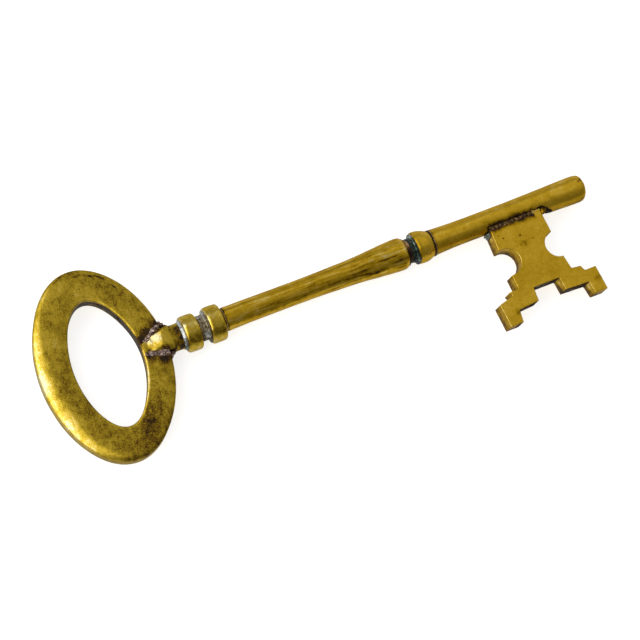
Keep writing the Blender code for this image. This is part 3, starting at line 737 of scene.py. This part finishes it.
def make_pin():
    shoulder = PIN_OUTLINE[0][0]
    outline = dense(PIN_OUTLINE, 0.2, 0.16)
    seat = (HEEL_ROOT_X - 0.65, SEAT_END_X)
    outline = np.array([row for row in outline
                        if min(abs(row[0] - seat[0]), abs(row[0] - seat[1])) > 0.12])
    for end in seat:
        for away in (-0.04, 0.04):
            radius = np.interp(end + away, outline[:, 0], outline[:, 1])
            place = np.searchsorted(outline[:, 0], end + away)
            outline = np.insert(outline, place, (end + away, radius), axis=0)
    journal = SHANK_HIGH[0] + GAP
    section = [(PIN_LOW[0], 0.1), (PIN_LOW[0], PIN_TENON_RADIUS - 0.5)]
    section += [(PIN_LOW[0] + 0.5, PIN_TENON_RADIUS)]
    section += [(x, PIN_TENON_RADIUS) for x in np.linspace(PIN_LOW[0] + 1, journal, 5)]
    section += [(x, PIN_JOURNAL_RADIUS) for x in np.linspace(journal + 0.02, shoulder - 0.05, 24)]
    section += [tuple(row) for row in outline]
    section += [(0.0, r) for r in np.linspace(outline[-1, 1] - 0.3, 0.1, 10)]

    def push(points, turn):
        outside = points[:, 0] > shoulder - 0.1
        ripple = 0.03 * wave(points, 5.5, 41, 2) + 0.02 * wave(points, 1.2, 42, 3, (7, 1, 1))
        return outside * ripple

    def shift(x):
        return np.interp(x, (-68, -61, -39, 0), (-0.12, -0.05, 0.0, 0.05))

    obj = spun("pin_skin", section, around=192, push=push, shift=shift)
    points = points_of(obj)
    inside = (points[:, 0] > seat[0]) & (points[:, 0] < seat[1])
    pocket_x = TOE_ROOT_X + 1.1
    ramp = np.clip((points[:, 0] - pocket_x) / (seat[1] - pocket_x), 0, 1)
    seat_y = SEAT_Y - 2.9 * ramp + 0.25 * wave(points, 1.3, 44, 2) * (ramp > 0)
    points[:, 1] = np.where(inside, np.maximum(points[:, 1], seat_y), points[:, 1])
    tip = np.clip((points[:, 0] + 4.0) / 4.0, 0, 1) ** 2
    points[:, 0] -= tip * (0.022 * np.clip(-points[:, 1], 0, 6) ** 2
                           + 0.06 * wave(points, 2.5, 43, 2))
    nick = near(points, [(-0.3, 2.3, 4.4, 0.6, 1.0), (-1.2, 1.9, 4.9, 0.5, 1.0),
                         (-2.2, 1.5, 5.2, 0.4, 0.8)])
    points[:, 2] -= 0.35 * nick
    move_points(obj, points)
    turn = np.degrees(np.arctan2(points[:, 1], points[:, 2]))
    seam = near(points, [(x, -3.0, 4.3, 1.2, 0.75) for x in np.arange(-44, -25, 1.2)])
    # Painted shade: the lower front flank darkens, more towards the shoulder.
    low = 0.10 * bump_at(turn, -38, 16) * np.clip((-44 - points[:, 0]) / 8 + 0.6, 0.25, 1)
    joint = 0.35 * bump_at(points[:, 0], shoulder, 0.4) + 0.55 * (points[:, 0] < shoulder - 0.2)
    # The pocket left in the seat beside the bit's toe is turned black.
    pocket = 1.0 * (inside & (points[:, 1] < seat_y + 0.35) & (points[:, 0] > TOE_ROOT_X - 1))
    # Painted shade: the lower edge, on the bit's side, is darkened.
    under = 0.3 * bump_at(turn, -80, 22)
    soot_and_shade = np.maximum.reduce([seam, low, joint, pocket, under, nick * 0.9])
    # Painted highlight: a faint pale line along the upper front.
    polish_and_highlight = 0.10 * bump_at(turn, 15, 25)
    material = aged_brass("pin_brass", 22, age=0.33, streak=(5, 1, 1), streak_size=1.3,
                          streaks=0.4, mottle=0.6, clouds=0.4, grain=0.5,
                          roughness=(0.27, 0.45))
    finish_piece(obj, "pin", material, "brass", soot_and_shade, polish_and_highlight)


# ---- bit ----------------------------------------------------------------------------------

def make_bit():
    """The bit's own plate from the frame, its edges worn round, its faces slightly wavy."""
    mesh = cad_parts["bit"].data.copy()
    obj = bpy.data.objects.new("bit_skin", mesh)
    bpy.context.scene.collection.objects.link(obj)
    fuse(obj, 0.2, 3)
    points = points_of(obj)
    normal = normals_of(obj)
    flat = np.abs(normal[:, 2]) > 0.9
    pits = near(points, [(-34.3, -10.6, 4, 0.35, 1.0), (-35.6, -14.4, 4, 0.45, 0.6),
                         (-41.4, -9.4, 4, 0.3, 0.8), (-42.8, -7.8, 4, 0.25, 0.7),
                         (-29.8, -13.4, 4, 0.25, 0.5)])
    swell = 0.045 * wave(points, 7, 51, 2) * flat + 0.02 * wave(points, 2.0, 52, 2)
    swell = swell - 0.12 * pits - 0.04
    points = points + normal * swell[:, None]
    move_points(obj, points)
    corner = np.clip(1 - np.abs(normal[:, 2]), 0, 1)
    bevel = bump_at(np.abs(normal[:, 2]), 0.72, 0.22)
    left = np.clip(-normal[:, 0], 0, 1)
    wall = (np.abs(normal[:, 2]) < 0.35)
    centre = (BIT_LOW[0] + BIT_HIGH[0]) / 2 - 0.5
    recess = (np.abs(points[:, 0] - centre) < 18) & (points[:, 1] < -29)
    # Painted shade: the downward-facing walls of the notches turn black. All side walls are
    # darkened, more towards the back face.
    notch = 1.0 * wall * recess * (normal[:, 1] < -0.5)
    sides = wall * (0.18 + 0.45 * np.clip((1.8 - points[:, 2]) / 3.5, 0, 1))
    seam = 0.8 * bump_at(points[:, 1], -4.2, 1.5) * (points[:, 0] < TOE_ROOT_X - 3)
    stain = near(points, [(-48.3, -39.2, 4, 1.2, 0.5), (-46.4, -40.2, 4, 0.8, 0.6),
                          (-11.3, -38.0, 4, 1.6, 0.35), (-34.0, -14.2, 4, 1.4, 0.3)])
    glint = near(points, [(centre + 6.6, -33.6, 0.6, 1.4, 1.0),
                          (centre + 17.4, -39.4, 0.8, 1.3, 1.0),
                          (centre - 15.0, -35.4, 1.0, 1.2, 0.8),
                          (HEEL_ROOT_X, -7.4, 0.5, 1.2, 0.7)])
    soot_and_shade = np.maximum.reduce([notch, sides, seam, pits * 0.9, stain]) * (1 - glint)
    # Rubbed edges are paled a little everywhere. As painted highlight, they are paled much more
    # where edges and side walls face left, towards the window. The glint spots are painted glints.
    polish_and_highlight = bevel * (0.15 + 0.75 * left) * (corner > 0.02)
    polish_and_highlight = polish_and_highlight + wall * left * (0.12 + 0.2 * wave(points, 2.2, 53, 2))
    polish_and_highlight = polish_and_highlight + 0.9 * glint
    material = aged_brass("bit_brass", 31, age=0.33, streak=(1, 1, 12), streak_size=0.7,
                          streaks=0.3, mottle=0.4, clouds=0.45, grain=0.4,
                          roughness=(0.28, 0.46), relief=0.8)
    finish_piece(obj, "bit", material, "brass", soot_and_shade, polish_and_highlight)


# ---- braze and solder ---------------------------------------------------------------------

def run_of_blobs(start, end, count, size, jitter, seed):
    """Lumps of filler along a line. size is (along, across, high) of a lump."""
    start, end = np.array(start, float), np.array(end, float)
    lumps = []
    for i in range(count):
        t = i / (count - 1)
        place = start + (end - start) * t
        wobble = [noise.noise(Vector((i * 1.7 + seed, seed * 2.3, k * 5.1))) for k in range(4)]
        place = place + np.array(wobble[:3]) * jitter
        grow = 1 + 0.45 * wobble[3]
        lumps.append((place, (size[0] * grow, size[1] * grow, size[2] * grow)))
    return lumps


def lumpy(node, lumps, material, slot, keep=None, voxel=0.16, rough=0.12, wear=None):
    """Fuses lumps of filler into one skin. keep(points) holds it off its neighbours."""
    obj = blobs(node + "_skin", lumps)
    fuse(obj, voxel, 3)
    points = points_of(obj)
    points = points + normals_of(obj) * (rough * wave(points, 0.9, len(node), 3))[:, None]
    if keep is not None:
        keep(points)
    move_points(obj, points)
    finish_piece(obj, node, material, slot, *(wear(points) if wear else (None, None)))


def make_fork_braze():
    band = filler("fork_braze_metal", 40, PURPLE_BRAZE, size=1.0, metallic=0.75,
                  roughness=(0.22, 0.6), relief=1.6, gleam=-0.02, contrast=3.6)
    edge = BOW_EDGE_X
    for face, side in (("front", 1), ("back", -1)):
        def keep(points, side=side):
            above = np.maximum(side * points[:, 2], HALF_PLATE + 0.02)
            points[:, 2] = side * above

        upper = []
        for row, shift in enumerate((0.0, 0.55)):
            upper += run_of_blobs((edge - 8.0 + row * 0.6, 1.9 - shift * 0.5, side * 4.0),
                                  (edge - 3.6, 4.9 - shift, side * 4.0), 16,
                                  (0.65, 0.6, 0.34 + 0.3 * row), 0.25, 3 + side + 5 * row)
            upper += run_of_blobs((edge - 3.6, 4.9 - shift, side * 4.0),
                                  (edge - 1.2, 5.9 - shift, side * 4.0), 10,
                                  (0.65, 0.65, 0.36 + 0.3 * row), 0.25, 9 + side + 5 * row)
        lumpy(f"fork_braze_{face}_upper", upper, band, "braze", keep)
        lower = []
        for row, shift in enumerate((0.0, 0.7, 1.3)):
            lower += run_of_blobs((edge - 9.0 + row * 0.6, -3.3 + shift * 0.35, side * 4.0),
                                  (edge - 1.0, -5.9 + shift, side * 4.0), 24,
                                  (0.6, 0.62, 0.34 + 0.3 * row), 0.28, 17 + side + 5 * row)
        lumpy(f"fork_braze_{face}_lower", lower, band, "braze", keep)

    def off_the_rim(points):
        points[:, 0] = np.maximum(points[:, 0], edge + 0.05 - 0.012 * points[:, 1] ** 2)

    dark = filler("fillet_metal", 44, PURPLE_BRAZE, size=0.8, metallic=0.7, gleam=0.15,
                  roughness=(0.3, 0.6))
    for name, sign in (("upper", 1), ("lower", -1)):
        fillet = run_of_blobs((edge + 0.45, sign * 5.75, -3.2), (edge + 0.45, sign * 5.75, 3.0),
                              11, (0.7, 0.75, 0.8), 0.1, 31 + sign)
        fillet += run_of_blobs((edge - 0.1, sign * 6.7, -2.6), (edge - 0.1, sign * 6.7, 2.6), 9,
                               (0.5, 0.75, 0.8), 0.1, 37 + sign)
        fillet += run_of_blobs((edge + 1.4, sign * 5.4, -2.0), (edge + 1.4, sign * 5.4, 1.8), 7,
                               (0.9, 0.35, 0.9), 0.1, 38 + sign)
        lumpy(f"bow_fillet_{name}", fillet, dark, "braze", off_the_rim)


def solder_collar(node, face_x, bar, reach, height, seed, material, slot="solder", sag=0.5,
                  drop=0.0, blob=None, film=0.0, gleam=0.0):
    """A run of solder in the corner between a bar and the face of a collar at face_x. reach is
    how far it runs along the bar, negative to the left, and height how far up the face."""
    way = 1 if reach > 0 else -1
    section = along_line([
        (face_x, bar), (face_x, bar + height), (face_x + way * 0.1, bar + height),
        (face_x + way * 0.2, bar + height * 0.5), (face_x + way * 0.4, bar + 0.3),
        (face_x + way * 0.8, bar + 0.12), (face_x + reach, bar + 0.07),
        (face_x + reach, bar)], 0.16)[:-1]

    def push(points, turn):
        outward = np.hypot(points[:, 1], points[:, 2]) - bar
        lift = outward > 0.08
        lower = np.clip(-np.sin(turn), 0, 1)
        return lift * (0.12 * wave(points, 1.1, seed, 3) + sag * 0.3 * lower)

    obj = spun(node + "_skin", section, ring=True, around=144, push=push,
               shift=lambda x: x * 0 - drop)
    points = points_of(obj)
    if blob is not None:
        x, y, z, radius, rise = blob
        away = near(points, [(x, y, z, radius, 1.0)])
        normal = normals_of(obj)
        points = points + normal * (away * rise)[:, None]
        move_points(obj, points)
    # Painted shade: darker towards -Y. The film term darkens the thin run away from the face.
    low = np.clip(-points[:, 1] / 7 - 0.2, 0, 1) + film * (np.abs(points[:, 0] - face_x) > 0.8)
    # Painted highlight: paler towards +Y and on the raised blob.
    bright = np.clip(points[:, 1] / 14, 0, 0.3) + gleam * (0 if blob is None else away)
    finish_piece(obj, node, material, slot, np.clip(low, 0, 1) * 0.8, bright)


def make_ring_solder():
    silver = filler("collar_solder_metal", 50, SILVER, size=1.4, metallic=0.85,
                    roughness=(0.2, 0.5), gleam=-0.1)
    groove = filler("groove_solder_metal", 52, DIRTY_SOLDER, size=1.1, metallic=0.8,
                    roughness=(0.22, 0.5))
    green = filler("front_solder_metal", 54, VERDIGRIS, size=1.2, metallic=0.75,
                   roughness=(0.15, 0.5))
    copper = filler("mouth_braze_metal", 56, COPPERY, size=1.9, metallic=0.7,
                    roughness=(0.2, 0.5))
    seam = filler("seam_metal", 58, SPECKLED_SEAM, size=0.7, metallic=0.9)
    solder_collar("rear_collar_solder", REAR_LOW[0] - 0.04, NECK_RADIUS + 0.05, -1.1, 0.8, 61,
                  silver, drop=0.1, sag=0.9)
    solder_collar("middle_collar_solder", MIDDLE_LOW[0] - 0.04, JOURNAL_RADIUS + 0.05, -3.4, 1.6,
                  62, groove, drop=0.1, blob=(MIDDLE_LOW[0] - 1.2, -3.8, 3.4, 1.5, 0.5),
                  film=0.2, gleam=0.9)
    solder_collar("front_collar_solder", FRONT_LOW[0] - 0.04, PIN_JOURNAL_RADIUS + 0.05, -2.4,
                  1.4, 63, green, sag=0.5, blob=(FRONT_LOW[0] - 0.7, -4.9, 3.0, 1.2, 0.9),
                  film=0.4, gleam=1.0)
    solder_collar("shank_mouth_braze", SHANK_HIGH[0] + 0.04, PIN_JOURNAL_RADIUS + 0.05, 1.35,
                  0.75, 64, copper, slot="braze", sag=0.2,
                  blob=(SHANK_HIGH[0] + 0.9, 1.6, 4.6, 1.5, 0.1), gleam=0.9)
    for node, low_x, high_x, inner, outer in (
            ("shank_rear_solder", MIDDLE_HIGH[0] + 0.03, SHANK_LOW[0] - 0.03, 3.6, 4.62),
            ("pin_shoulder_solder", FRONT_HIGH[0] + 0.03, PIN_OUTLINE[0][0] - 0.05, 5.1, 5.34)):
        section = [(low_x, r) for r in np.linspace(inner, outer, 6)]
        section += [(x, outer + 0.05) for x in np.linspace(low_x, high_x, 6)[1:-1]]
        section += [(high_x, r) for r in np.linspace(outer, inner, 6)]

        def push(points, turn, bar=outer):
            return (np.hypot(points[:, 1], points[:, 2]) > bar - 0.1) * (
                0.12 * wave(points, 0.8, 65, 3))

        obj = spun(node + "_skin", section, ring=True, around=144, push=push,
                   shift=lambda x: x * 0 - 0.2)
        points = points_of(obj)
        core = bump_at(points[:, 0] + 0.15 * wave(points, 1.5, 66, 2), low_x + 0.35, 0.3)
        finish_piece(obj, node, seam, "solder", core, 0.6 * (1 - core))


def make_bit_braze():
    black = filler("bit_braze_metal", 70, BLACK_BRAZE, size=1.3, metallic=0.6,
                   roughness=(0.25, 0.6), relief=1.4)
    for face, side in (("front", 1), ("back", -1)):
        def keep(points, side=side):
            points[:, 2] = side * np.clip(side * points[:, 2], HALF_PLATE - 0.05, 4.6)

        line = run_of_blobs((HEEL_ROOT_X + 0.7, -4.2, side * 4.0),
                            (TOE_ROOT_X - 3.6, -3.6, side * 4.0), 30, (1.0, 0.75, 0.26), 0.5,
                            41 + side)
        line += run_of_blobs((TOE_ROOT_X - 3.9, -3.5, side * 4.0),
                             (TOE_ROOT_X - 0.7, -3.4, side * 4.0), 8, (0.7, 0.5, 0.22), 0.2,
                             43 + side)

        def golden_end(points):
            return np.zeros(len(points)), np.clip((points[:, 0] - TOE_ROOT_X + 4.2) / 1.2, 0, 1)

        lumpy(f"bit_braze_{face}", line, black, "braze", keep, rough=0.10, wear=golden_end)
    silver = filler("heel_solder_metal", 74, SILVER, size=1.2, metallic=0.85, gleam=0.2)
    heel = run_of_blobs((HEEL_ROOT_X - 0.4, -5.8, -2.6), (HEEL_ROOT_X - 0.4, -5.8, 2.2), 11,
                        (0.4, 0.9, 0.7), 0.06, 47)
    heel += run_of_blobs((HEEL_ROOT_X - 1.0, -5.25, -1.8), (HEEL_ROOT_X - 1.0, -5.25, 1.4), 9,
                         (0.8, 0.3, 0.7), 0.06, 48)

    def beside_root(points):
        points[:, 0] = np.minimum(points[:, 0], HEEL_ROOT_X - 0.03)

    lumpy("bit_heel_solder", heel, silver, "solder", beside_root)
    bridge = aged_brass("toe_braze_metal", 77, age=0.48, streak_size=1.0, streaks=0.4,
                        mottle=0.8, grain=0.5, roughness=(0.25, 0.5), relief=1.6)
    toe = run_of_blobs((TOE_ROOT_X + 0.9, -4.2, -3.4), (TOE_ROOT_X + 0.9, -4.2, 3.5), 8,
                       (0.9, 1.5, 0.9), 0.2, 52)
    toe += run_of_blobs((TOE_ROOT_X + 2.0, -3.6, -3.0), (TOE_ROOT_X + 2.0, -3.6, 3.2), 8,
                        (1.2, 0.8, 0.8), 0.2, 53)

    def beside_toe(points):
        points[:, 0] = np.maximum(points[:, 0], TOE_ROOT_X + 0.03)
        points[:, 1] = np.minimum(points[:, 1], SEAT_Y - 0.03)

    
    def dull(points):
        return np.full(len(points), 0.3), np.zeros(len(points))

    lumpy("bit_toe_braze", toe, bridge, "braze", beside_toe, wear=dull)


# ---- floor and light ----------------------------------------------------------------------

FLOOR_GLOW = 0.72           # keeps the paper white right up to the key
TABLE_TONE = 0.42           # what the metal mirrors: a greyer sheet than the camera sees
FLOOR_GAP = 0.25            # below the lowest collar
MIRRORED_GAP = 0.4
SHEET_HALF = 1.6            # metres
SHEET_X = -0.12
# Brightness of the room by direction, from -Y to +Y.
SKY_ACROSS = ((-1.0, 0.16), (-0.6, 0.22), (-0.3, 0.27), (0.0, 0.30), (0.3, 0.36), (0.7, 0.42),
              (1.0, 0.34))
# Soft panels in metres: name, centre, what it faces, width and height, radiance.
PANELS = (("window", (-1.05, 0.05, 0.42), (-0.2, 0.0, 0.0), (1.5, 0.62), 1.42),
          ("ceiling_left", (-0.74, 0.2, 0.72), (-0.74, 0.2, 0.0), (0.92, 1.2), 1.0),
          ("ceiling_right", (0.50, 0.35, 0.72), (0.50, 0.35, 0.0), (0.84, 1.2), 0.18))


def paper(name, z, tone, glow):
    """A large plain sheet to lie on."""
    bm = bmesh.new()
    bmesh.ops.create_grid(bm, x_segments=8, y_segments=8, size=SHEET_HALF)
    mesh = bpy.data.meshes.new(name)
    bm.to_mesh(mesh)
    bm.free()
    sheet = bpy.data.objects.new(name, mesh)
    sheet.location = (SHEET_X, 0.0, z * MM)
    bpy.context.scene.collection.objects.link(sheet)
    material = bpy.data.materials.new(name)
    material.use_nodes = True
    shader = material.node_tree.nodes["Principled BSDF"]
    shader.inputs["Base Color"].default_value = (tone, tone, tone, 1)
    shader.inputs["Roughness"].default_value = 0.9
    shader.inputs["Specular IOR Level"].default_value = 0.1
    shader.inputs["Emission Color"].default_value = (1, 1, 1, 1)
    shader.inputs["Emission Strength"].default_value = glow
    mesh.materials.append(material)
    return sheet


def make_floor():
    """The white paper the camera sees, and just under it a greyer one for reflections."""
    seen = paper("floor", FLOOR_Z - FLOOR_GAP, 0.82, FLOOR_GLOW)
    seen.visible_glossy = False
    mirrored = paper("floor_in_reflections", FLOOR_Z - MIRRORED_GAP, TABLE_TONE, 0.12)
    mirrored.visible_camera = False
    mirrored.visible_diffuse = False
    mirrored.visible_shadow = False


def make_sky():
    """A soft room, dimmer on the bit's side than on the far side."""
    world = bpy.data.worlds.new("room")
    bpy.context.scene.world = world
    world.use_nodes = True
    tree = world.node_tree
    background = tree.nodes["Background"]
    where = tree.nodes.new("ShaderNodeTexCoord").outputs["Generated"]
    split = tree.nodes.new("ShaderNodeSeparateXYZ")
    tree.links.new(where, split.inputs[0])
    ramp = tree.nodes.new("ShaderNodeValToRGB")
    ramp.color_ramp.interpolation = "EASE"
    elements = ramp.color_ramp.elements
    while len(elements) < len(SKY_ACROSS):
        elements.new(0.5)
    for element, (across, value) in zip(elements, SKY_ACROSS):
        element.position = across / 2 + 0.5
        element.color = (value, value, value, 1)
    half = tree.nodes.new("ShaderNodeMath")
    half.operation = "MULTIPLY_ADD"
    half.inputs[1].default_value = 0.5
    half.inputs[2].default_value = 0.5
    tree.links.new(split.outputs["Y"], half.inputs[0])
    tree.links.new(half.outputs[0], ramp.inputs["Fac"])
    tree.links.new(ramp.outputs["Color"], background.inputs["Color"])


def panel(name, centre, facing, size, radiance):
    """A soft light panel. radiance is how bright its face looks."""
    data = bpy.data.lights.new(name, "AREA")
    data.shape = "RECTANGLE"
    data.size, data.size_y = size
    data.energy = radiance * pi * size[0] * size[1]
    light = bpy.data.objects.new(name, data)
    bpy.context.scene.collection.objects.link(light)
    light.location = centre
    light.rotation_euler = (Vector(facing) - Vector(centre)).to_track_quat("-Z", "Y").to_euler()
    light.visible_camera = False


make_bow()
make_neck()
make_collar("rear_collar", REAR_LOW, REAR_HIGH, 1, drop=0.35)
make_collar("middle_collar", MIDDLE_LOW, MIDDLE_HIGH, 2, drop=0.3)
make_shank()
make_front_collar()
make_pin()
make_bit()
make_fork_braze()
make_ring_solder()
make_bit_braze()
make_floor()
make_sky()
for settings in PANELS:
    panel(*settings)
bpy.context.scene.view_settings.view_transform = "Standard"
